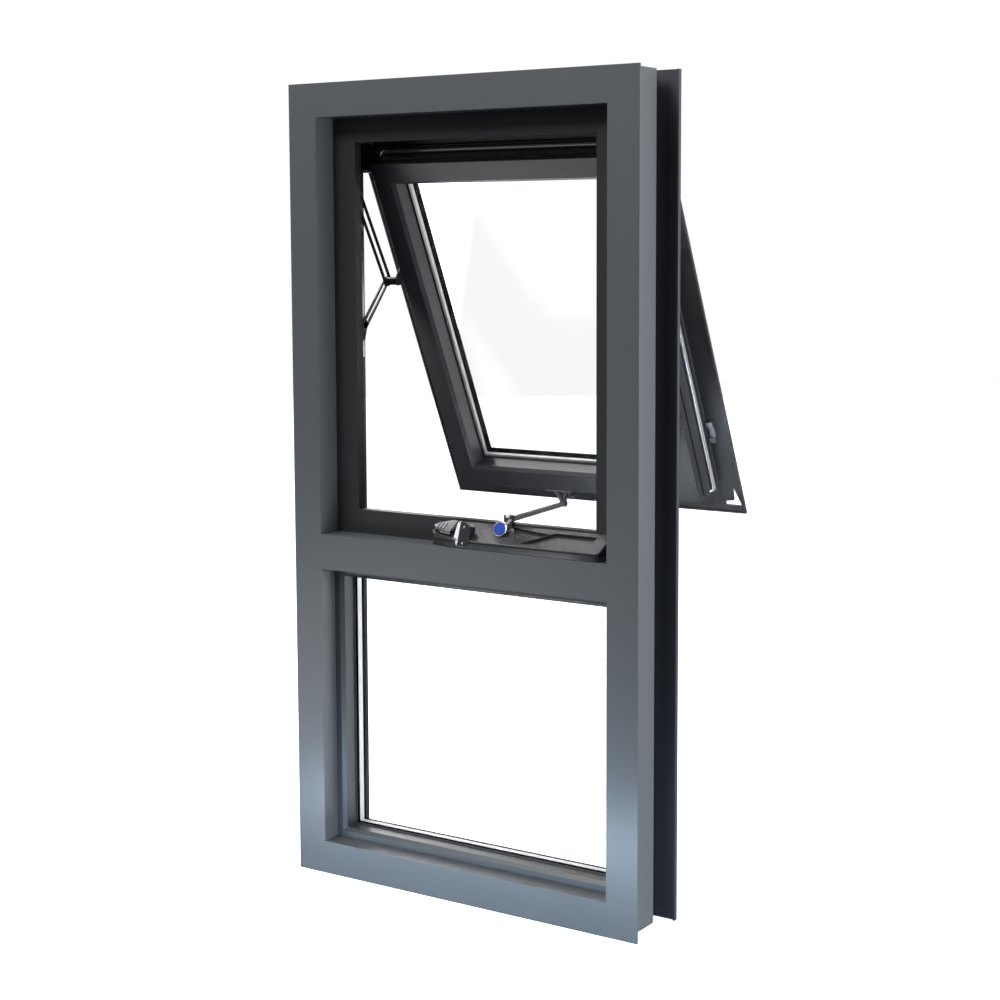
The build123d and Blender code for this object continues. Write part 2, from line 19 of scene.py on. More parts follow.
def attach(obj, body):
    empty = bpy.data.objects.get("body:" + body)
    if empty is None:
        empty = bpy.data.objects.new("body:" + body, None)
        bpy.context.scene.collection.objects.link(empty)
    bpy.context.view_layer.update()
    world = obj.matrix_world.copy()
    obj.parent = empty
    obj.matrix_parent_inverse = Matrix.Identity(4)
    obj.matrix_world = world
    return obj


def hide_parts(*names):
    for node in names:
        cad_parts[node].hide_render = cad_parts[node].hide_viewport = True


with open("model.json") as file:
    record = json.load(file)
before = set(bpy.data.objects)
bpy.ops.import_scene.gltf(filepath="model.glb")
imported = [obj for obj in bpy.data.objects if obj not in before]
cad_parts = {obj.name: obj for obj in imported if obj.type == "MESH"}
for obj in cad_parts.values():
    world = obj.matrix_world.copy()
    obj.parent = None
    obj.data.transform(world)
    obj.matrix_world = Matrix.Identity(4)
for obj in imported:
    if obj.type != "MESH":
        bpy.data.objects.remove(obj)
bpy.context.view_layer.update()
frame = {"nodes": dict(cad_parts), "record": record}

log = logging.getLogger("window")
logging.basicConfig(level=logging.INFO, format="%(name)s: %(message)s")

Colour = tuple[float, float, float, float]
Point = tuple[float, float, float]
Pair = tuple[float, float]
Pairs = tuple[Pair, ...]
Skin = tuple[list[Point], list[list[int]]]
MM = 0.001
SIDES = ((-1, "left"), (1, "right"))
CRANK_NODES = ("crank_grip", "crank_hinge", "winder_base")


class Slot(Enum):
    """Material slots of the record."""

    FRAME = "frame_coating"
    STOP = "stop_coating"
    BEAD = "bead_coating"
    SASH = "sash_coating"
    RUBBER = "rubber_seal"
    GLASS = "clear_glass"
    SPACER = "spacer_bar"
    STAY_STEEL = "stay_steel"
    STAY_BLACK = "stay_black"
    WINDER = "winder_black"
    CHROME = "button_chrome"
    BLUE = "button_blue"
    CHAIN = "chain_steel"


class Extra(Enum):
    """Finishes of small pieces that share another slot of the record."""

    TUBE = "tube_seal"
    ZINC = "zinc"
    NYLON = "nylon"
    CRANK = "crank_black"


# ---- Shader and geometry node helpers


class Wire:
    """A node's output that is used in Python expressions."""

    def __init__(self, graph: "Graph", socket: bpy.types.NodeSocket) -> None:
        """Keeps the graph and the socket."""
        self.graph = graph
        self.socket = socket

    def maths(self, operation: str, *others: Any) -> "Wire":
        """Adds a Math node with this wire as its first input, and gives its result."""
        sockets = dict(enumerate((self, *others)))
        return self.graph.add("Math", {"operation": operation}, sockets)

    def __add__(self, other: Any) -> "Wire":
        """Sum."""
        return self.maths("ADD", other)

    __radd__ = __add__

    def __sub__(self, other: Any) -> "Wire":
        """Difference."""
        return self.maths("SUBTRACT", other)

    def __rsub__(self, other: Any) -> "Wire":
        """Difference from a number."""
        return self * -1.0 + other

    def __mul__(self, other: Any) -> "Wire":
        """Product."""
        return self.maths("MULTIPLY", other)

    __rmul__ = __mul__


class Graph:
    """A node tree in which nodes are added by one method."""

    family = "ShaderNode"

    def __init__(self, tree: bpy.types.NodeTree) -> None:
        """Keeps the tree."""
        self.tree = tree

    def add(
        self, kind: str, settings: dict[str, Any] | None = None,
        sockets: dict[Any, Any] | None = None, output: int | str = 0,
    ) -> Wire:
        """Adds a node.

        Args:
            kind: The node's type, without the family's name.
            settings: Properties that are set first. "stops" fills a colour ramp.
            sockets: Values or wires by input name or number.
            output: Name or number of the output given.

        Returns:
            The chosen output as a wire.
        """
        node = self.tree.nodes.new(self.family + kind)
        for key, value in (settings or {}).items():
            if key == "stops":
                for element, (place, colour) in zip(node.color_ramp.elements, value):
                    element.position = place
                    element.color = colour
            else:
                setattr(node, key, value)
        for key, value in (sockets or {}).items():
            if isinstance(value, Wire):
                self.tree.links.new(value.socket, node.inputs[key])
            else:
                node.inputs[key].default_value = value
        return Wire(self, node.outputs[output] if len(node.outputs) else None)

    def blend(self, factor: Wire, first: Any, second: Any) -> Wire:
        """Mixes two colours by the second one's share, which is kept between 0 and 1."""
        settings = {"data_type": "RGBA", "clamp_factor": True}
        return self.add("Mix", settings, {"Factor": factor, 6: first, 7: second}, 2)


class Surface(Graph):
    """Node tree of a new material that ends in one principled shader."""

    def __init__(self, name: str) -> None:
        """Starts the material with its Object coordinates.

        Args:
            name: The material's name.
        """
        self.material = bpy.data.materials.new(name)
        self.material.use_nodes = True
        self.material.node_tree.nodes.clear()
        super().__init__(self.material.node_tree)
        self.coords = self.add("TexCoord", None, None, "Object")

    def stretched(self, scale: Point) -> Wire:
        """Object coordinates scaled along each axis."""
        sockets = {"Vector": self.coords, "Scale": scale}
        return self.add("Mapping", None, sockets, "Vector")

    def noise(self, scale: float, detail: float, rough: float, coords: Wire | None = None) -> Wire:
        """Fractal noise, from cells in a metre, octaves and the share that each keeps."""
        sockets = {"Vector": coords or self.coords, "Scale": scale, "Detail": detail}
        return self.add("TexNoise", None, sockets | {"Roughness": rough}, "Fac")

    def shade(self, factor: Wire, colour: Point, dark: float, light: float) -> Wire:
        """Colour between two tints of one colour, given by their gains."""
        tints = [(*(min(1.0, channel * gain) for channel in colour), 1.0) for gain in (dark, light)]
        return self.add("ValToRGB", {"stops": enumerate(tints)}, {"Fac": factor}, "Color")

    def bump(self, height: Wire, strength: float, distance: float = 0.0001) -> Wire:
        """Normal that follows a height pattern, over a distance in metres."""
        sockets = {"Strength": strength, "Distance": distance, "Height": height}
        return self.add("Bump", None, sockets, "Normal")

    def close(self, sockets: dict[str, Any]) -> Material:
        """Adds the shader and shows it.

        Args:
            sockets: Values or wires of the principled shader.

        Returns:
            The finished material.
        """
        shader = self.add("BsdfPrincipled", None, sockets)
        self.add("OutputMaterial", None, {"Surface": shader})
        return self.material


# ---- Finishes


@dataclass(frozen=True)
class PowderCoat:
    """Fine-grained powder coating on aluminium or steel."""

    name: str
    colour: Point
    roughness: float = 0.38
    peel: float = 0.12
    variation: float = 0.12
    specular: float = 0.5
    outer_colour: Point | None = None
    outer_from: float = 0.0425

    def build(self) -> Material:
        """Makes the material.

        Returns:
            The material. Its outer colour, if any, starts at a depth behind the room face.
        """
        surface = Surface(self.name)
        fleck = surface.noise(2600.0, 2.0, 0.6)
        cloud = surface.noise(5.0, 3.0, 0.5)
        peel = surface.noise(620.0, 3.0, 0.55)
        mix = fleck * 0.6 + cloud * 0.4
        dark, light = 1 - self.variation, 1 + self.variation
        colour = surface.shade(mix, self.colour, dark, light)
        if self.outer_colour:
            depth = surface.add("SeparateXYZ", None, {"Vector": surface.coords}, "Y")
            beyond = depth.maths("GREATER_THAN", self.outer_from)
            outer = surface.shade(mix, self.outer_colour, dark, light)
            colour = surface.blend(beyond, colour, outer)
        return surface.close({
            "Base Color": colour,
            "Roughness": self.roughness - 0.05 + cloud * 0.06 + fleck * 0.05,
            "Normal": surface.bump(peel, self.peel, 0.0002),
            "Specular IOR Level": self.specular,
        })


@dataclass(frozen=True)
class Rubber:
    """Matt black rubber with a faint bloom."""

    name: str
    colour: Point
    roughness: float = 0.62

    def build(self) -> Material:
        """Makes the material.

        Returns:
            The material.
        """
        surface = Surface(self.name)
        bloom = surface.noise(60.0, 4.0, 0.6)
        grain = surface.noise(1500.0, 2.0, 0.5)
        return surface.close({
            "Base Color": surface.shade(bloom, self.colour, 0.8, 1.8),
            "Roughness": self.roughness - 0.05 + bloom * 0.12,
            "Normal": surface.bump(grain, 0.25),
        })


@dataclass(frozen=True)
class ClearGlass:
    """Float glass with a trace of dust and a haze that is drawn upright."""

    name: str
    colour: Point
    drawn: Point = (1.0, 0.12, 0.12)
    index: float = 1.18

    def build(self) -> Material:
        """Makes the material.

        Returns:
            The material.
        """
        surface = Surface(self.name)
        haze = surface.noise(9.0, 4.0, 0.55, surface.stretched(self.drawn))
        dust = surface.noise(700.0, 1.0, 0.5)
        return surface.close({
            "Base Color": surface.shade(haze, self.colour, 0.975, 1.01),
            "Roughness": haze * 0.012 + dust * 0.006,
            "Transmission Weight": 1.0,
            "IOR": self.index,
        })


@dataclass(frozen=True)
class BrushedMetal:
    """Metal with fine lines. The pattern is squeezed along X, Y and Z by the grain."""

    name: str
    colour: Point
    roughness: float = 0.3
    grain: Point = (1.0, 1.0, 1.0)
    metallic: float = 1.0

    def build(self) -> Material:
        """Makes the material.

        Returns:
            The material.
        """
        surface = Surface(self.name)
        lines = surface.noise(900.0, 3.0, 0.6, surface.stretched(self.grain))
        stain = surface.noise(40.0, 3.0, 0.5)
        return surface.close({
            "Base Color": surface.shade(lines * 0.7 + stain * 0.3, self.colour, 0.82, 1.12),
            "Metallic": self.metallic,
            "Roughness": self.roughness - 0.08 + lines * 0.1 + stain * 0.08,
            "Normal": surface.bump(lines, 0.15),
        })


@dataclass(frozen=True)
class Moulding:
    """Cast or moulded housing with a fine spark-eroded grain."""

    name: str
    colour: Point
    roughness: float = 0.4
    grain: float = 0.2
    coat: float = 0.0
    coat_roughness: float = 0.08

    def build(self) -> Material:
        """Makes the material.

        Returns:
            The material.
        """
        surface = Surface(self.name)
        pits = surface.noise(1800.0, 2.0, 0.6)
        wipe = surface.noise(25.0, 3.0, 0.5)
        return surface.close({
            "Base Color": surface.shade(pits * 0.5 + wipe * 0.5, self.colour, 0.85, 1.2),
            "Roughness": self.roughness - 0.05 + wipe * 0.1,
            "Normal": surface.bump(pits, self.grain),
            "Coat Weight": self.coat,
            "Coat Roughness": self.coat_roughness,
        })


@dataclass(frozen=True)
class StudioFloor:
    """Plain pale floor."""

    name: str
    colour: Point
    glow: float = 0.8

    def build(self) -> Material:
        """Makes the material.

        Returns:
            The material.
        """
        surface = Surface(self.name)
        mottle = surface.noise(3.0, 3.0, 0.5)
        return surface.close({
            "Base Color": surface.shade(mottle, self.colour, 0.99, 1.01),
            "Roughness": 0.8,
            "Emission Color": (1.0, 1.0, 1.0, 1.0),
            "Emission Strength": self.glow,
        })


@dataclass
class Palette:
    """All finishes, built once and handed out by slot."""

    made: dict[Slot | Extra, Material] = field(default_factory=dict)

    def build(self) -> None:
        """Builds every finish."""
        recipes: dict[Slot | Extra, Any] = {
            Slot.FRAME: PowderCoat(
                "frame_powder_coat", (0.066, 0.072, 0.078), outer_colour=(0.033, 0.035, 0.041)
            ),
            Slot.STOP: PowderCoat("stop_powder_coat", (0.017, 0.018, 0.019), 0.48, specular=0.28),
            Slot.BEAD: PowderCoat("bead_powder_coat", (0.03, 0.033, 0.036), 0.36),
            Slot.SASH: PowderCoat("sash_powder_coat", (0.024, 0.025, 0.028), 0.34),
            Slot.RUBBER: Rubber("seal_rubber", (0.006, 0.006, 0.0065)),
            Slot.GLASS: ClearGlass("float_glass", (0.99, 0.995, 0.993)),
            Slot.SPACER: BrushedMetal("spacer_alloy", (0.84, 0.85, 0.86), 0.5, metallic=0.15),
            Slot.STAY_STEEL: BrushedMetal("stay_stainless", (0.6, 0.6, 0.6), 0.26, (1, 1, 0.04)),
            Slot.STAY_BLACK: PowderCoat("stay_black_coat", (0.012, 0.012, 0.013), 0.2, 0.03),
            Slot.WINDER: Moulding("winder_housing", (0.02, 0.0195, 0.021), 0.24, 0.06, 0.35),
            Slot.CHROME: BrushedMetal("button_chrome", (0.85, 0.85, 0.87), 0.1),
            Slot.BLUE: Moulding("button_blue", (0.006, 0.04, 0.3), 0.2, 0.03, 0.6),
            Slot.CHAIN: BrushedMetal("chain_steel", (0.28, 0.28, 0.29), 0.32),
            # The rubber tube seal gets a pale, near-white metal finish: a painted highlight line
            # along a black seal.
            Extra.TUBE: BrushedMetal("tube_seal_painted_highlight", (0.85, 0.85, 0.86), 0.2, metallic=0.8),
            Extra.ZINC: BrushedMetal("zinc_fitting", (0.42, 0.42, 0.45), 0.3),
            Extra.NYLON: Moulding("guide_nylon", (0.72, 0.71, 0.64), 0.35, 0.05),
            Extra.CRANK: Moulding("crank_black", (0.008, 0.008, 0.009), 0.14, 0.03, 1.0),
        }
        for slot, recipe in recipes.items():
            self.made[slot] = recipe.build()
            log.info("finish %s", recipe.name)

    def dress(self, obj: Object, slot: Slot | Extra) -> None:
        """Gives an object the one finish of a slot."""
        obj.data.materials.clear()
        obj.data.materials.append(self.made[slot])


# ---- Geometry node trees that end in plain, dressed geometry


class GeometryTree(Graph):
    """Node tree with named inputs that is turned into a plain mesh."""

    family = "GeometryNode"

    def __init__(self, name: str) -> None:
        """Starts the tree with its geometry input and output.

        Args:
            name: The tree's name.
        """
        tree = bpy.data.node_groups.new(name, "GeometryNodeTree")
        super().__init__(tree)
        for way in ("INPUT", "OUTPUT"):
            tree.interface.new_socket("Geometry", in_out=way, socket_type="NodeSocketGeometry")
        self.entry = tree.nodes.new("NodeGroupInput")
        self.source = Wire(self, self.entry.outputs["Geometry"])

    def size(self, name: str, kind: str = "Float") -> Wire:
        """Adds a named input of a kind, and gives it as a wire."""
        self.tree.interface.new_socket(name, in_out="INPUT", socket_type=f"NodeSocket{kind}")
        return Wire(self, self.entry.outputs[name])

    def shape(self, name: str) -> Wire:
        """Adds a named input for an object, and gives its geometry."""
        settings, sockets = {"transform_space": "ORIGINAL"}, {"Object": self.size(name, "Object")}
        return self.add("ObjectInfo", settings, sockets, "Geometry")

    def close(self, geometry: Wire) -> None:
        """Realizes and dresses the result.

        Args:
            geometry: The geometry to give out.
        """
        finish = self.size("Finish", "Material")
        solid = self.add("RealizeInstances", None, {"Geometry": geometry})
        dressed = self.add("SetMaterial", None, {"Geometry": solid, "Material": finish})
        self.tree.links.new(dressed.socket, self.tree.nodes.new("NodeGroupOutput").inputs[0])

    def make(self, name: str, source: Mesh, values: dict[str, Any]) -> Object:
        """Runs the tree on a mesh and keeps the result as a plain mesh.

        Args:
            name: Name of the new piece.
            source: Mesh that the tree starts from.
            values: Values of the named inputs.

        Returns:
            The piece, with no modifier.
        """
        piece = linked(name, source)
        modifier = piece.modifiers.new("build", "NODES")
        modifier.node_group = self.tree
        items = self.tree.interface.items_tree
        sockets = {item.name: item.identifier for item in items if item.in_out == "INPUT"}
        for key, value in values.items():
            modifier[sockets[key]] = value
        graph = bpy.context.evaluated_depsgraph_get()
        graph.update()
        mesh = bpy.data.meshes.new_from_object(piece.evaluated_get(graph), depsgraph=graph)
        piece.modifiers.clear()
        piece.data = mesh
        return piece


def scatter_tree() -> GeometryTree:
    """Tree that sets one fastener on each point, turned by the point's own turn.

    Returns:
        The tree, with the inputs Fastener, Size and Finish.
    """
    tree = GeometryTree("scatter_fasteners")
    shape, size = tree.shape("Fastener"), tree.size("Size")
    settings = {"data_type": "FLOAT_VECTOR"}
    turn = tree.add("InputNamedAttribute", settings, {"Name": "turn"}, "Attribute")
    sockets = {"Points": tree.source, "Instance": shape, "Rotation": turn, "Scale": size}
    tree.close(tree.add("InstanceOnPoints", None, sockets))
    return tree


def run_tree() -> GeometryTree:
    """Tree that repeats a link in a straight run.

    Returns:
        The tree, with the inputs Link, Start, Step, Count, Turn and Finish.
    """
    tree = GeometryTree("run_of_links")
    shape = tree.shape("Link")
    start, step = tree.size("Start", "Vector"), tree.size("Step", "Vector")
    count, turn = tree.size("Count", "Int"), tree.size("Turn", "Vector")
    sockets = {"Count": count, "Start Location": start, "Offset": step}
    line = tree.add("MeshLine", {"mode": "OFFSET"}, sockets)
    sockets = {"Points": line, "Instance": shape, "Rotation": turn}
    tree.close(tree.add("InstanceOnPoints", None, sockets))
    return tree


def tube_tree() -> GeometryTree:
    """Tree that runs a round tube along a path of edges with eased corners.

    Returns:
        The tree, with the inputs Radius, Bend, Sides and Finish.
    """
    tree = GeometryTree("tube_along_path")
    radius, bend, sides = tree.size("Radius"), tree.size("Bend"), tree.size("Sides", "Int")
    path = tree.add("MeshToCurve", None, {"Mesh": tree.source})
    sockets = {"Curve": path, "Count": 8, "Radius": bend, "Limit Radius": True}
    eased = tree.add("FilletCurve", {"mode": "POLY"}, sockets)
    sockets = {"Resolution": sides, "Radius": radius}
    ring = tree.add("CurvePrimitiveCircle", {"mode": "RADIUS"}, sockets)
    sockets = {"Curve": eased, "Profile Curve": ring, "Fill Caps": True}
    tube = tree.add("CurveToMesh", None, sockets)
    sockets = {"Geometry": tube, "Shade Smooth": True}
    tree.close(tree.add("SetShadeSmooth", None, sockets))
    return tree


# ---- Plain mesh helpers


def shape_mesh(name: str, skin: Skin, bevel: float = 0.0) -> Mesh:
    """Makes a mesh whose faces point outwards.

    Args:
        name: The mesh's name.
        skin: Points in metres, and faces.
        bevel: Width of the eased edges in metres.

    Returns:
        The mesh.
    """
    mesh = bpy.data.meshes.new(name)
    mesh.from_pydata([tuple(point) for point in skin[0]], [], skin[1])
    work = bmesh.new()
    work.from_mesh(mesh)
    bmesh.ops.remove_doubles(work, verts=work.verts, dist=1e-7)
    bmesh.ops.recalc_face_normals(work, faces=work.faces)
    if bevel:
        edges = list(work.edges)
        bmesh.ops.bevel(work, geom=edges, offset=bevel, segments=3, profile=0.5, affect="EDGES")
        bmesh.ops.recalc_face_normals(work, faces=work.faces)
    work.to_mesh(mesh)
    work.free()
    return mesh


def stacked_rings(rings: Sequence[Sequence[Sequence[float]]], closed: bool = False) -> Skin:
    """Skins closed rings of equal count.

    Args:
        rings: The rings, each a list of corners.
        closed: Whether the last ring joins the first, with no caps.

    Returns:
        Points and faces.
    """
    count = len(rings[0])
    points = [tuple(point) for ring in rings for point in ring]
    total, faces = len(points), []
    for low in range(0, total if closed else total - count, count):
        high = (low + count) % total
        for i in range(count):
            j = (i + 1) % count
            faces.append([low + i, low + j, high + j, high + i])
    if not closed:
        faces += [list(range(count)), list(range(total - count, total))]
    return points, faces


def joined(skins: Sequence[Skin]) -> Skin:
    """Puts several skins into one.

    Args:
        skins: Points and faces of each.

    Returns:
        Points and faces of them all.
    """
    points: list[Point] = []
    faces: list[list[int]] = []
    for more, skin in skins:
        faces += [[len(points) + i for i in face] for face in skin]
        points += more
    return points, faces


def linked(name: str, data: bpy.types.ID) -> Object:
    """Adds an object to the scene, and gives it.

    Args:
        name: The object's name.
        data: Its mesh, light or camera.

    Returns:
        The object.
    """
    obj = bpy.data.objects.new(name, data)
    bpy.context.collection.objects.link(obj)
    return obj


def round_ring(radii: Sequence[float], height: float) -> list[Point]:
    """Corners of a ring round Z, from the radius of each in turn."""
    turns = [i * tau / len(radii) for i in range(len(radii))]
    return [(r * cos(turn), r * sin(turn), height) for r, turn in zip(radii, turns)]


def unplaced(name: str, skin: Skin) -> Object:
    """Small object that a tree repeats, and that isn't in the scene itself."""
    return bpy.data.objects.new(name, shape_mesh(name, skin))


def seat(piece: Object, slot: Slot, *nodes: str) -> None:
    """Fixes a finished piece to the frame and reports it.

    Args:
        piece: The piece.
        slot: Record slot of its finish. Not used.
        nodes: Solids that the piece stands for.
    """
    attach(piece, "root")
    if nodes:
        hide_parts(*nodes)
    log.info("made %s", piece.name)


def add_piece(
    name: str, skin: Skin, finish: Material, slot: Slot, *nodes: str, bevel: float = 0.0
) -> None:
    """Adds a piece with one finish.

    Args:
        name: The piece's name.
        skin: Its points and faces, in place.
        finish: Its finish.
        slot: Record slot of its finish.
        nodes: Solids that the piece stands for.
        bevel: Width of the eased edges in metres.
    """
    mesh = shape_mesh(name, skin, bevel)
    mesh.materials.append(finish)
    seat(linked(name, mesh), slot, *nodes)


@dataclass(frozen=True)
class Pane:
    """Face on which places are given by x, by height along the face and by depth behind it."""

    corner: Point
    lean: float = 0.0

    def at(self, x: float, rise: float, depth: float) -> Vector:
        """Place of a point.

        Args:
            x: Millimetres to the right.
            rise: Millimetres up along the face.
            depth: Millimetres behind the face.

        Returns:
            The place in metres.
        """
        up = Vector((0.0, -sin(self.lean), cos(self.lean)))
        out = Vector((0.0, cos(self.lean), sin(self.lean)))
        return Vector(self.corner) + (Vector((x, 0.0, 0.0)) + up * rise + out * depth) * MM

    def direction(self, x: float, rise: float, depth: float) -> Vector:
        """Unit vector given in the face's own directions."""
        return (self.at(x, rise, depth) - self.at(0.0, 0.0, 0.0)).normalized()


ROOM_FACE = Pane((0.0, -0.0425, -0.022))
SASH_FACE = Pane((0.0, 0.288670, 0.548772), radians(25.0))
SLOPE_FACE = Pane(tuple(ROOM_FACE.at(-56.0, 540.0, 4.5)), radians(-60.15))
KNOB_FACE = Pane(tuple(ROOM_FACE.at(0.0, 529.0, 0.6)), radians(-10.0))


@dataclass(frozen=True)
class Opening:
    """Rectangle on a face, in millimetres."""

    face: Pane
    half: float
    low: float
    high: float

    def corners(self, inward: float, depth: float) -> list[Vector]:
        """The four corners.

        Args:
            inward: Distance inside the rectangle's edge.
            depth: Depth behind the face.

        Returns:
            The corners, from the lower left one on.
        """
        reach, low, high = self.half - inward, self.low + inward, self.high - inward
        places = ((-reach, low), (reach, low), (reach, high), (-reach, high))
        return [self.face.at(x, rise, depth) for x, rise in places]

    def ring(self, section: Sequence[Pair]) -> Skin:
        """Runs a section of inward distances and depths round it, with mitred corners."""
        return stacked_rings(list(zip(*(self.corners(*place) for place in section))), closed=True)

    def loop(self, outward: float, depth: float) -> Mesh:
        """Closed path of edges outside the rectangle.

        Args:
            outward: Distance outside the rectangle's edge.
            depth: Depth behind the face.

        Returns:
            A mesh of four points and four edges.
        """
        mesh = bpy.data.meshes.new("path")
        mesh.from_pydata(self.corners(-outward, depth), [(0, 1), (1, 2), (2, 3), (3, 0)], [])
        return mesh


FIXED_LIGHT = Opening(ROOM_FACE, 250.0, 50.0, 474.0)
SASH_BOX = Opening(SASH_FACE, 221.0, 0.0, 565.0)
SASH_LIGHT = Opening(SASH_FACE, 196.0, 25.0, 540.0)


# ---- Fasteners


@dataclass
class Fasteners:
    """Pan-head screws with a cross recess and domed rivets, set by one tree."""

    palette: Palette
    sides: int = 16
    between: float = 0.7
    track_x: float = 247.5
    track_middle: float = 100.0
    track_rises: tuple[float, ...] = (872.0, 925.0, 978.0, 1051.0)
    track_screw: float = 3.6
    strip_x: float = 224.0
    strip_middle: float = 10.0
    strip_rises: tuple[float, ...] = (338.0, 425.0, 475.0, 525.0)
    strip_screw: float = 3.4
    rivet_places: tuple[Point, ...] = (
        (244.7, 812.0, 102.0), (241.9, 1027.0, 98.0), (247.2, 906.0, 165.0)
    )
    rivet: float = 4.6
    plate_places: tuple[Point, ...] = ((-54.6, -3.0, 8.0), (-15.0, -3.0, 8.0))
    plate_screw: float = 2.6
    tree: GeometryTree | None = None

    def head(self) -> Object:
        """Screw head of radius 1 that stands on its origin along Z.

        Returns:
            The head, for instancing only.
        """
        rings = [
            round_ring([radius] * self.sides, height)
            for radius, height in ((1.0, 0.0), (1.0, 0.18), (0.88, 0.36), (0.62, 0.45))
        ]
        for reach, waist, height in ((0.5, 0.2, 0.46), (0.42, 0.14, 0.2)):
            radii = [waist if i % 4 else reach for i in range(self.sides)]
            rings.append(round_ring(radii, height))
        return unplaced("screw_head", stacked_rings(rings))

    def dome(self) -> Object:
        """Rivet head of radius 1 that stands on its origin along Z.

        Returns:
            The head, for instancing only.
        """
        profile = [(1.0, 0.0), (0.97, 0.12), (0.84, 0.26), (0.6, 0.36), (0.3, 0.41)]
        rings = [round_ring([radius] * self.sides, height) for radius, height in profile]
        head = unplaced("rivet_head", stacked_rings(rings))
        head.data.shade_smooth()
        return head

    def set(
        self, name: str, shape: Object, places: Sequence[tuple[Vector, Vector]],
        radius: float, finish: Material, slot: Slot = Slot.STAY_STEEL,
    ) -> None:
        """Sets one fastener at each place.

        Args:
            name: Name of the piece.
            shape: The head to repeat.
            places: Foot and outward direction of each.
            radius: Head radius in millimetres.
            finish: Material.
            slot: Record slot of the finish.
        """
        self.tree = self.tree or scatter_tree()
        mesh = bpy.data.meshes.new(name)
        mesh.from_pydata([foot for foot, _ in places], [], [])
        turns = mesh.attributes.new("turn", "FLOAT_VECTOR", "POINT")
        for number, (entry, (_, way)) in enumerate(zip(turns.data, places)):
            turn = way.to_track_quat("Z", "Y") @ Quaternion((0, 0, 1), self.between * number)
            entry.vector = turn.to_euler()
        values = {"Fastener": shape, "Size": radius * MM, "Finish": finish}
        seat(self.tree.make(name, mesh, values), slot)

    def build(self) -> None:
        """Sets all screws and rivets."""
        head, dome = self.head(), self.dome()
        steel, black = self.palette.made[Slot.STAY_STEEL], self.palette.made[Slot.STAY_BLACK]
        for side, word in SIDES:
            inward, outward = Vector((-side, 0, 0)), Vector((side, 0, 0))
            track = [
                (ROOM_FACE.at(side * self.track_x, rise, self.track_middle), inward)
                for rise in self.track_rises
            ]
            self.set(f"track_screws_{word}", head, track, self.track_screw, steel)
            strip = [
                (SASH_FACE.at(side * self.strip_x, rise, self.strip_middle), outward)
                for rise in self.strip_rises
            ]
            self.set(f"bracket_screws_{word}", head, strip, self.strip_screw, steel)
            ways = (inward, inward, outward)
            rivets = [
                (ROOM_FACE.at(side * x, rise, depth), way)
                for (x, rise, depth), way in zip(self.rivet_places, ways)
            ]
            self.set(f"stay_rivets_{word}", dome, rivets, self.rivet, steel)
        down = SASH_FACE.direction(0.0, -1.0, 0.0)
        plate = [(SASH_FACE.at(*place), down) for place in self.plate_places]
        self.set("chain_bracket_screws", head, plate, self.plate_screw, black, Slot.STAY_BLACK)


# ---- Rubber


@dataclass
class Seals:
    """Gasket lips on both sides of each glass unit and the tube seal round the sash."""

    palette: Palette
    tube_radius: float = 3.5
    tube_bend: float = 7.0
    tube_sides: int = 20
    step_depth: float = 44.5
    lip_plans: tuple[tuple[str, Opening, Pairs], ...] = (
        ("fixed_lip_room", FIXED_LIGHT,
         ((15.0, 57.4), (16.2, 57.9), (17.6, 59.5), (17.6, 60.0), (15.0, 60.0))),
        ("fixed_lip_outer", FIXED_LIGHT,
         ((15.0, 82.0), (18.6, 82.0), (18.6, 82.6), (17.0, 84.6), (15.0, 85.0))),
        ("sash_lip_room", SASH_LIGHT,
         ((10.0, 29.3), (11.0, 29.6), (12.2, 30.6), (12.2, 31.0), (10.0, 31.0))),
        ("sash_lip_outer", SASH_LIGHT,
         ((10.0, 47.0), (19.8, 47.0), (19.8, 47.5), (18.2, 49.0), (10.0, 49.0))),
    )

    def lips(self) -> None:
        """Wedge lips that lie on the glass, beside the beads and the outer legs."""
        rubber = self.palette.made[Slot.RUBBER]
        for name, opening, section in self.lip_plans:
            add_piece(name, opening.ring(section), rubber, Slot.RUBBER)

    def tube(self) -> None:
        """Tube seal in the corner between the sash's side and its flange, in a pale metal finish
        that is a painted highlight.
        """
        path = SASH_BOX.loop(self.tube_radius, self.step_depth - self.tube_radius)
        values = {
            "Radius": self.tube_radius * MM,
            "Bend": self.tube_bend * MM,
            "Sides": self.tube_sides,
            "Finish": self.palette.made[Extra.TUBE],
        }
        seat(tube_tree().make("sash_tube_seal", path, values), Slot.RUBBER)

    def build(self) -> None:
        """Builds the lips and the tube."""
        self.lips()
        self.tube()


# ---- Chain and stays


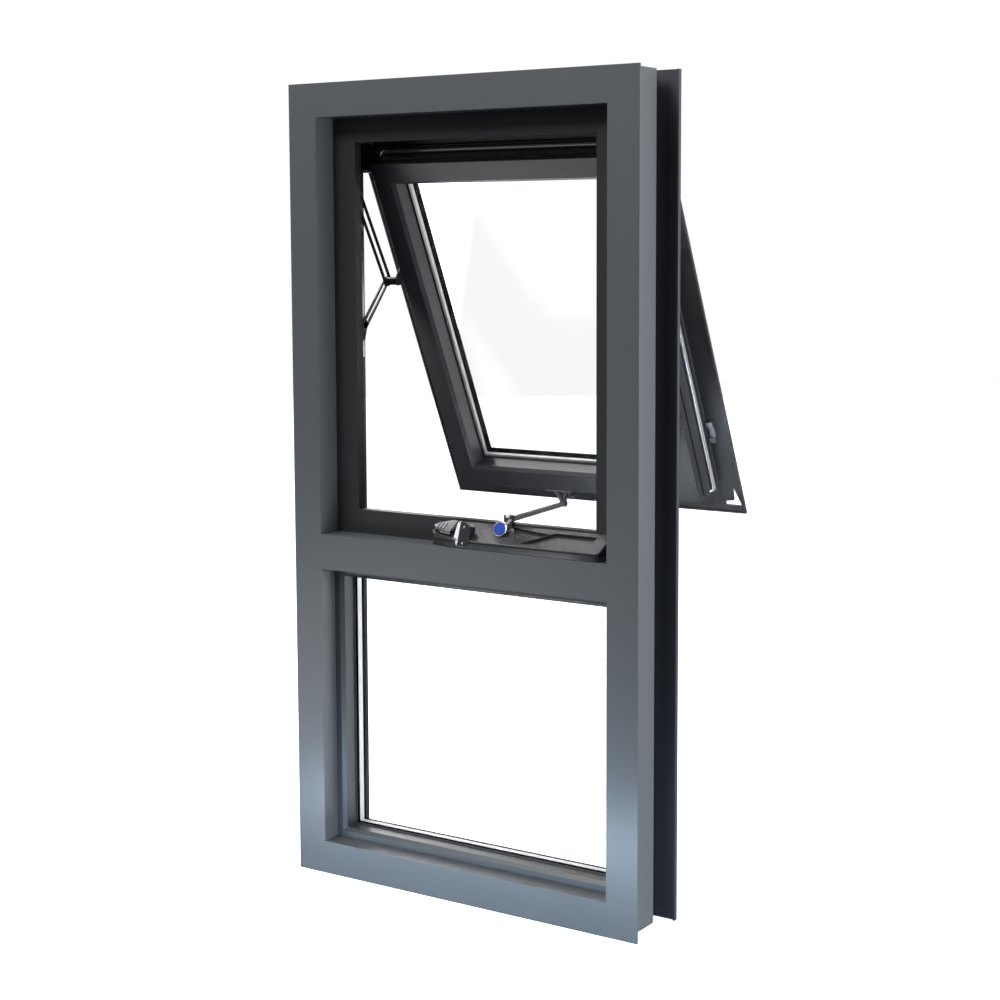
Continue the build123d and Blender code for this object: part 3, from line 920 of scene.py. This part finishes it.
@dataclass
class Chain:
    """Push chain of pinned plates between the winder's outlet and the sash bracket."""

    palette: Palette
    start: Point = (65.8, 569.1, 41.1)
    end: Point = (-34.6, 547.9, 350.7)
    height: float = 8.0
    width: float = 5.0
    plate: float = 0.9
    pitch: float = 6.2
    end_gap: float = 7.5
    start_gap: float = 3.6
    clearance: float = 0.1
    outline_corners: int = 12
    end_share: float = 0.8
    face_share: Pair = (0.94, 0.9)
    edge_round: float = 0.2
    pin_radius: float = 1.5
    pin_sides: int = 8
    pin_proud: float = 0.05

    def link(self, name: str, half_width: float) -> Object:
        """Two round-ended plates with their two pins, along X.

        Args:
            name: The link's name.
            half_width: Distance of the plates' outer faces from the middle.

        Returns:
            The link, for instancing only.
        """
        radius = self.height / 2 - self.clearance
        outline = []
        for i in range(self.outline_corners):
            angle = tau * (i + 0.5) / self.outline_corners - pi / 2
            shift = copysign(self.pitch / 2, cos(angle))
            across = radius * self.end_share * cos(angle)
            outline.append((across + shift, radius * sin(angle)))
        skins = []
        for side in (-1, 1):
            outer, inner = side * half_width, side * (half_width - self.plate)
            skins.append(stacked_rings([
                [(x * self.face_share[0], outer, z * self.face_share[1]) for x, z in outline],
                [(x, outer - side * self.edge_round, z) for x, z in outline],
                [(x, inner, z) for x, z in outline],
            ]))
        pin_end = half_width + self.pin_proud
        circle = round_ring([self.pin_radius] * self.pin_sides, 0.0)
        for place in (-self.pitch / 2, self.pitch / 2):
            rings = [[(place + x, y, z) for x, z, _ in circle] for y in (-pin_end, pin_end)]
            skins.append(stacked_rings(rings))
        points, faces = joined(skins)
        return unplaced(name, ([(x * MM, y * MM, z * MM) for x, y, z in points], faces))

    def build(self) -> None:
        """Builds the run of outer and inner links."""
        start, end = ROOM_FACE.at(*self.start), ROOM_FACE.at(*self.end)
        way = (end - start).normalized()
        level = Vector((0, 0, 1)).cross(way).normalized()
        turn = Matrix((way, level, way.cross(level))).transposed().to_euler()
        reach = (end - start).length - (self.end_gap + self.start_gap) * MM
        count = int(reach / (2 * self.pitch * MM))
        pitch = reach / (2 * count)
        tree = run_tree()
        first = start + way * (self.start_gap * MM + pitch / 2)
        outer = self.width / 2 - self.clearance
        halves = {"outer_link": outer, "inner_link": outer - self.plate - self.clearance}
        parts = []
        for number, (name, half) in enumerate(halves.items()):
            values = {
                "Link": self.link(name, half),
                "Start": first + way * pitch * number,
                "Step": way * (2 * pitch),
                "Count": count,
                "Turn": Vector(turn),
                "Finish": self.palette.made[Slot.CHAIN],
            }
            parts.append(tree.make(f"chain_{name}s", bpy.data.meshes.new("empty"), values))
        seat(parts[0], Slot.CHAIN, "chain")
        seat(parts[1], Slot.CHAIN)


@dataclass
class StayArms:
    """Slotted arms of the friction stays, one pair a side."""

    palette: Palette
    low: Pair = (102.0, 812.0)
    elbow: Pair = (110.0, 840.0)
    apex: Pair = (165.0, 906.0)
    high: Pair = (98.0, 1027.0)
    foot_width: float = 10.0
    foot_slot: float = 2.4
    shank_width: float = 13.0
    shank_slot: float = 5.0
    upper_width: float = 17.0
    upper_slot: float = 8.4
    track_face: float = 247.5
    thick: float = 2.5
    gap: float = 0.3
    solid_end: float = 9.0
    steps: int = 10

    def oval(self, start: Vector, end: Vector, radius: float) -> list[Pair]:
        """Round-ended outline between two points of depth and rise.

        Args:
            start: Centre of the first end.
            end: Centre of the second end.
            radius: Half of the width.

        Returns:
            Depth and rise of each corner.
        """
        along = (end - start).normalized()
        first = atan2(along.y, along.x) + pi / 2
        out = []
        for centre, turn in ((start, 0.0), (end, pi)):
            for i in range(self.steps + 1):
                angle = first + turn + pi * i / self.steps
                x, y = radius * cos(angle), radius * sin(angle)
                out.append((centre.x + x, centre.y + y))
        return out

    def bar(self, start: Pair, end: Pair, width: float, slot: float, faces_x: Pair) -> Skin:
        """Flat arm with a long slot.

        Args:
            start: Depth and rise of the first pivot.
            end: Depth and rise of the second pivot.
            width: Width of the arm.
            slot: Width of its slot.
            faces_x: Sideways places of its two faces.

        Returns:
            Points and faces.
        """
        first, last = Vector(start), Vector(end)
        along = (last - first).normalized() * self.solid_end
        inside = self.oval(first + along, last - along, slot / 2)
        loops = [self.oval(first, last, width / 2), inside]
        points = [
            ROOM_FACE.at(x, rise, depth) for x in faces_x for loop in loops for depth, rise in loop
        ]
        count = len(loops[0])
        faces = []
        for i in range(count):
            j = (i + 1) % count
            for a, b in ((0, 1), (3, 2), (2, 0), (1, 3)):
                faces.append([a * count + i, a * count + j, b * count + j, b * count + i])
        return points, faces

    def build(self) -> None:
        """Builds the arms of both sides."""
        legs = {
            "lower": (
                (self.low, self.elbow, self.foot_width, self.foot_slot),
                (self.elbow, self.apex, self.shank_width, self.shank_slot),
            ),
            "upper": ((self.high, self.apex, self.upper_width, self.upper_slot),),
        }
        black = self.palette.made[Slot.STAY_BLACK]
        for side, word in SIDES:
            near = side * (self.track_face - self.gap)
            for kind, plans in legs.items():
                far = near - side * self.thick
                skin = joined([self.bar(*plan, (near, far)) for plan in plans])
                name, node = f"stay_{kind}_slotted_{word}", f"stay_{kind}_arm_{word}"
                add_piece(name, skin, black, Slot.STAY_BLACK, node)
                near = far - side * self.gap


# ---- Small fittings


@dataclass
class Fittings:
    """Keeper on the right stile, the winder's folded crank and the chain's guide."""

    palette: Palette
    fasteners: Fasteners
    keeper_foot: float = 49.0
    keeper_section: Pairs = (
        (233.2, 0.0), (233.2, 1.6), (234.2, 2.2), (243.0, 2.2), (244.0, 1.6), (244.0, 0.0)
    )
    keeper_lugs: Pairs = (
        (80.0, 0.0), (81.0, 3.6), (88.0, 4.2), (90.0, 0.0),
        (106.0, 0.0), (108.0, 4.4), (116.0, 4.4), (117.0, 0.0),
    )
    knob_front: Pairs = (
        (0.5, 0.5), (13.0, 1.5), (19.5, 8.0), (20.5, 31.0), (17.0, 34.5), (4.5, 38.0)
    )
    knob_side: Pairs = ((-5.5, 36.0), (-11.0, 12.0))
    knob_side_depth: float = 6.0
    knob_depth: float = 14.0
    knob_bevel: float = 0.9
    knob_pins: Pairs = ((9.8, 29.5), (8.6, 6.0))
    pin_radius: float = 1.7
    # Outline and lifts of the pale strip that paints the highlight on the knob's chamfer.
    highlight_strip_outline: tuple[Point, ...] = (
        (3.2, 36.6, 0.4), (-5.2, 34.8, 5.4), (-10.2, 12.6, 5.4), (-0.8, 2.4, 0.4)
    )
    highlight_strip_lifts: Pair = (-1.0, 0.5)
    lever_plan: Pairs = (
        (40.0, 5.0), (40.0, 37.2), (29.3, 37.2), (9.0, 28.0),
        (3.5, 23.5), (3.0, 19.0), (7.0, 13.0), (20.0, 8.0),
    )
    lever_middle: Pair = (24.0, 21.0)
    lever_steps: Pairs = ((-0.6, 1.0), (3.6, 1.0), (5.0, 0.95), (5.6, 0.86))
    rib_steps: Pairs = ((-8.0, 0.4), (-7.2, 1.0), (7.2, 1.0), (8.0, 0.4))
    rib_half: float = 1.3
    rib_height: float = 1.8
    rib_arc: int = 6
    rib_count: int = 3
    rib_start: Point = (11.0, 20.0, -5.4)
    rib_pitch: float = 6.0
    guide_x: float = 65.8
    guide_rises: Pair = (573.0, 577.0)
    guide_half: float = 2.6
    guide_chamfer: float = 2.0
    guide_steps: Pairs = ((33.5, 0.0), (34.2, 0.7), (41.8, 0.7), (42.6, 0.0))

    def keeper(self) -> None:
        """Small plate with two raised lugs on the flange beside the right stile."""
        rings = []
        for rise, lug in self.keeper_lugs:
            ring = []
            for x, height in self.keeper_section:
                lift = height + (lug if height else 0.0)
                ring.append(SASH_FACE.at(x, rise, self.keeper_foot - lift))
            rings.append(ring)
        zinc = self.palette.made[Extra.ZINC]
        add_piece("sash_keeper", stacked_rings(rings), zinc, Slot.STAY_STEEL)

    def knob(self) -> None:
        """Folded knob of the crank: an upright block that leans back, with a wide left chamfer."""
        outline = [(x, rise, 0.0) for x, rise in self.knob_front]
        outline += [(x, rise, self.knob_side_depth) for x, rise in self.knob_side]
        count = len(outline)
        points = [KNOB_FACE.at(*place) for place in outline]
        points += [KNOB_FACE.at(x, rise, self.knob_depth) for x, rise, _ in outline]
        chamfer = [*range(len(self.knob_front) - 1, count), 0]
        faces = [list(range(len(self.knob_front))), chamfer, list(range(count, 2 * count))]
        for i in range(count):
            j = (i + 1) % count
            faces.append([i, j, j + count, i + count])
        black, bevel = self.palette.made[Extra.CRANK], self.knob_bevel * MM
        add_piece("crank_knob", (points, faces), black, Slot.WINDER, "crank_hinge", bevel=bevel)

    def highlight_strip_and_pins(self) -> None:
        """Pale strip on the knob's chamfer, which is a painted highlight, and the two pins on its
        front.
        """
        rings = [
            [KNOB_FACE.at(x, rise, depth - lift) for x, rise, depth in self.highlight_strip_outline]
            for lift in self.highlight_strip_lifts
        ]
        # The pale strip on the black knob's chamfer is a painted highlight.
        pale = self.palette.made[Slot.SPACER]
        add_piece("knob_trim", stacked_rings(rings), pale, Slot.CHROME)
        outward = KNOB_FACE.direction(0.0, 0.0, -1.0)
        places = [(KNOB_FACE.at(x, rise, 0.0), outward) for x, rise in self.knob_pins]
        dome, zinc = self.fasteners.dome(), self.palette.made[Extra.ZINC]
        self.fasteners.set("knob_pins", dome, places, self.pin_radius, zinc)

    def lever(self) -> None:
        """Low lever folded onto the winder's tapered tip."""
        middle = Vector(self.lever_middle)
        rings = []
        for height, share in self.lever_steps:
            places = [middle + (Vector(place) - middle) * share for place in self.lever_plan]
            rings.append([SLOPE_FACE.at(*place, -height) for place in places])
        black = self.palette.made[Extra.CRANK]
        add_piece("crank_lever", stacked_rings(rings), black, Slot.WINDER, "crank_grip")

    def ribs(self) -> None:
        """Finger ribs on the lever, in bright zinc that paints their glints."""
        origin = SLOPE_FACE.at(0.0, 0.0, 0.0)
        turns = [i * pi / self.rib_arc for i in range(self.rib_arc + 1)]
        rings = []
        for along, share in self.rib_steps:
            half, height = self.rib_half * share, self.rib_height * share
            rings.append([
                SLOPE_FACE.at(half * cos(turn), along, -height * sin(turn)) - origin
                for turn in turns
            ])
        values = {
            "Link": unplaced("finger_rib", stacked_rings(rings)),
            "Start": SLOPE_FACE.at(*self.rib_start),
            "Step": Vector((self.rib_pitch, 0.0, 0.0)) * MM,
            "Count": self.rib_count,
            "Turn": Vector(),
            # Bright zinc on the ribs stands in for glints on black ribs: painted glints.
            "Finish": self.palette.made[Extra.ZINC],
        }
        ribs = run_tree().make("crank_ribs", bpy.data.meshes.new("empty"), values)
        seat(ribs, Slot.STAY_STEEL)

    def guide(self) -> None:
        """Pale guide where the chain leaves the winder."""
        rings = []
        for depth, grow in self.guide_steps:
            low, high = self.guide_rises[0] - grow, self.guide_rises[1] + grow
            half = self.guide_half + grow
            step, inner = high - self.guide_chamfer, half - self.guide_chamfer
            outline = (
                (-half, low), (half, low), (half, step),
                (inner, high), (-inner, high), (-half, step),
            )
            rings.append([ROOM_FACE.at(self.guide_x + x, rise, depth) for x, rise in outline])
        nylon = self.palette.made[Extra.NYLON]
        add_piece("chain_guide", stacked_rings(rings), nylon, Slot.WINDER)

    def build(self) -> None:
        """Builds every fitting."""
        for make in (self.keeper, self.knob, self.highlight_strip_and_pins, self.lever, self.ribs, self.guide):
            make()


# ---- Studio


@dataclass(frozen=True)
class Lamp:
    """Area light that the camera doesn't see, with its size in metres and its power in watts."""

    name: str
    place: Point
    aim: Point
    size: Pair
    power: float
    colour: Point = (1.0, 1.0, 1.0)
    diffuse: bool = True
    glossy: bool = True

    def build(self) -> None:
        """Adds the light. It may light matt surfaces only, or show in gloss only."""
        data = bpy.data.lights.new(self.name, "AREA")
        data.shape = "RECTANGLE"
        data.size, data.size_y = self.size
        data.energy = self.power
        data.color = self.colour
        obj = linked(self.name, data)
        obj.visible_camera = False
        obj.visible_diffuse = self.diffuse
        obj.visible_glossy = self.glossy
        obj.location = self.place
        way = Vector(self.aim) - Vector(self.place)
        obj.rotation_euler = way.to_track_quat("-Z", "Y").to_euler()


LAMPS = (
    Lamp("top_soft", (-1.0, -0.3, 3.0), (0.0, 0.0, 0.5), (1.6, 1.6), 95.0, (1.0, 0.99, 0.97)),
    Lamp("low_soft", (0.12, -0.3, 0.02), (0.12, 0.0, 0.02), (1.2, 0.05), 4.3, (0.62, 0.8, 1.0)),
    Lamp("front_soft", (-1.0, -3.9, 4.0), (0.0, 0.0, 0.5), (1.6, 1.6), 175.0, (0.98, 1.0, 1.0)),
    Lamp(
        "floor_glow", (-0.85, -0.95, 0.0), (0.0, 0.05, 0.9), (0.9, 0.6), 5.0, (0.97, 0.98, 1.0),
        diffuse=False,
    ),
    Lamp("back_glow", (-1.7, 1.3, 1.6), (0.0, 0.0, 0.6), (1.6, 2.6), 34.0, diffuse=False),
    Lamp(
        "side_soft", (3.0, -0.1, 0.2), (0.3, -0.1, 0.4), (0.8, 1.6), 285.0, (0.96, 0.97, 1.0),
        glossy=False,
    ),
)


@dataclass
class Studio:
    """Camera, floor, world and lights."""

    place: Point = (1.54149, -2.24452, 0.94723)
    across: Point = (0.832759, 0.553619, -0.004182)
    upward: Point = (-0.053547, 0.088059, 0.994675)
    lens: float = 67.979
    sensor: float = 36.0
    shift: float = -0.065
    clip: Pair = (0.05, 100.0)
    floor_level: float = -0.0225
    floor_radius: float = 9.0
    floor_sides: int = 96
    floor_colour: Point = (0.86, 0.86, 0.865)
    white: Colour = (1.0, 1.0, 1.0, 1.0)
    room_side: Colour = (0.34, 0.35, 0.36, 1.0)
    outside: Colour = (0.9, 0.9, 0.9, 1.0)
    below: Colour = (0.1, 0.105, 0.115, 1.0)

    def camera(self) -> None:
        """Sets the camera to the photograph's view."""
        data = bpy.data.cameras.new("camera")
        data.lens = self.lens
        data.sensor_width = self.sensor
        data.shift_y = self.shift
        data.clip_start, data.clip_end = self.clip
        camera = linked("camera", data)
        right, up = Vector(self.across).normalized(), Vector(self.upward).normalized()
        turn = Matrix((right, up, right.cross(up))).transposed().to_4x4()
        camera.matrix_world = Matrix.Translation(self.place) @ turn
        bpy.context.scene.camera = camera

    def floor(self) -> None:
        """Adds the floor, which only the camera and what passes through glass see."""
        mesh = bpy.data.meshes.new("studio_floor")
        ring = round_ring([self.floor_radius] * self.floor_sides, self.floor_level)
        mesh.from_pydata(ring, [], [tuple(range(self.floor_sides))])
        mesh.materials.append(StudioFloor("studio_floor", self.floor_colour).build())
        obj = linked("studio_floor", mesh)
        obj.visible_diffuse = obj.visible_glossy = False

    def world(self) -> None:
        """White where it is seen directly or through glass, else dimmer on the room side."""
        world = bpy.data.worlds.new("studio")
        world.use_nodes = True
        world.node_tree.nodes.clear()
        graph = Graph(world.node_tree)
        way = graph.add("TexCoord", None, None, "Generated")
        ahead = graph.add("SeparateXYZ", None, {"Vector": way}, "Y")
        above = graph.add("SeparateXYZ", None, {"Vector": way}, "Z")
        stops = [(0.5, self.room_side), (0.68, self.outside)]
        share = {"Fac": ahead * 0.5 + 0.5}
        sky = graph.add("ValToRGB", {"stops": stops}, share, "Color")
        level = graph.blend(above * 4.0 + 0.7, self.below, sky)
        direct = graph.add("LightPath", None, None, "Is Camera Ray")
        through = graph.add("LightPath", None, None, "Is Transmission Ray")
        colour = graph.blend(direct.maths("MAXIMUM", through), level, self.white)
        back = graph.add("Background", None, {"Color": colour, "Strength": 1.0})
        graph.add("OutputWorld", None, {"Surface": back})
        bpy.context.scene.world = world

    def build(self) -> None:
        """Builds the studio."""
        self.camera()
        self.floor()
        self.world()
        for lamp in LAMPS:
            lamp.build()
        settings = bpy.context.scene.view_settings
        settings.view_transform = "Standard"
        settings.look = "None"
        log.info("studio ready")


def dress_nodes(palette: Palette) -> None:
    """Gives every solid its finish.

    Args:
        palette: The finishes.
    """
    slots = {entry["node"]: Slot(entry["material_slot"]) for entry in frame["record"]["subparts"]}
    for name, obj in frame["nodes"].items():
        palette.dress(obj, Extra.CRANK if name in CRANK_NODES else slots[name])
        log.info("dressed %s", name)


def main() -> None:
    """Builds the scene."""
    palette = Palette()
    palette.build()
    dress_nodes(palette)
    fasteners = Fasteners(palette)
    fittings = Fittings(palette, fasteners)
    for part in (fasteners, Seals(palette), Chain(palette), StayArms(palette), fittings, Studio()):
        part.build()


if __name__ == "__main__":
    main()
